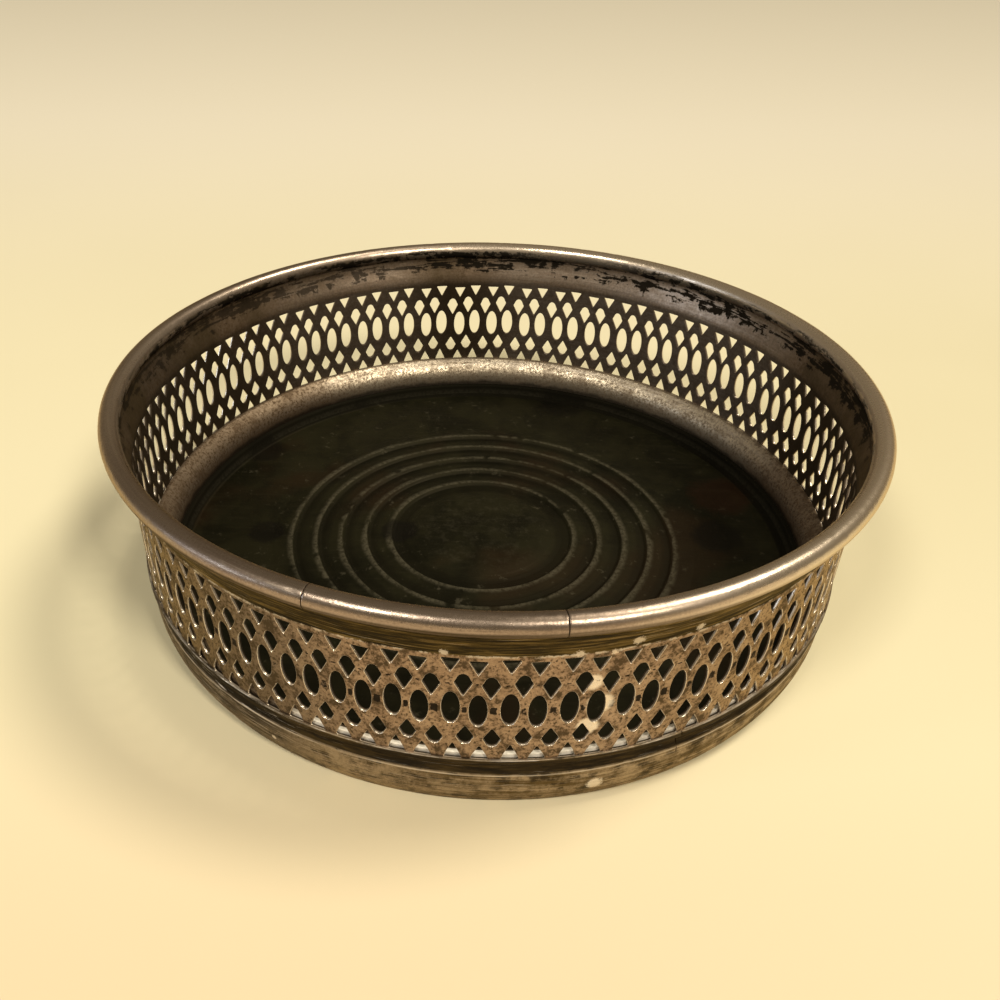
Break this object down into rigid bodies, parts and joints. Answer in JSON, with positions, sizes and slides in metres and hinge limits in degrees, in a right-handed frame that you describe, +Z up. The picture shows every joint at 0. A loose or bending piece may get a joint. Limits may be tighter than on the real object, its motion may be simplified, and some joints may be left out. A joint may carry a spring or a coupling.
{
  "type": "wine bottle coaster",
  "caption": "Round bottle coaster: low pierced metal gallery with a round rim bead on a moulded foot, a dark turned base with concentric ridges, and a baize pad beneath.",
  "frame": {"origin": "on the table plane under the centre of the coaster", "axes": "+Z up along the coaster's axis; -Y is the side with the two butt joints of the rim bead"},
  "size_m": [0.152, 0.152, 0.0449],
  "materials": {
    "gallery_plate": "worn silver plate, light beige outside with brown tarnish, dark inside",
    "bead_plate": "rubbed silver plate with fine lengthwise scratches",
    "ring_plate": "speckled tarnished silver plate",
    "foot_plate": "heavily tarnished silver plate, scratched back to bright metal in places",
    "black_wood": "black-stained turned wood, dull, with worn ridges",
    "baize": "green wool baize"
  },
  "bodies": {
    "root": {"gallery_band": "gallery_plate", "rim_bead_long": "bead_plate", "rim_bead_short": "bead_plate", "inner_ring": "ring_plate", "foot_ring": "foot_plate", "base_disc": "black_wood", "baize_pad": "baize"}
  },
  "joints": []
}
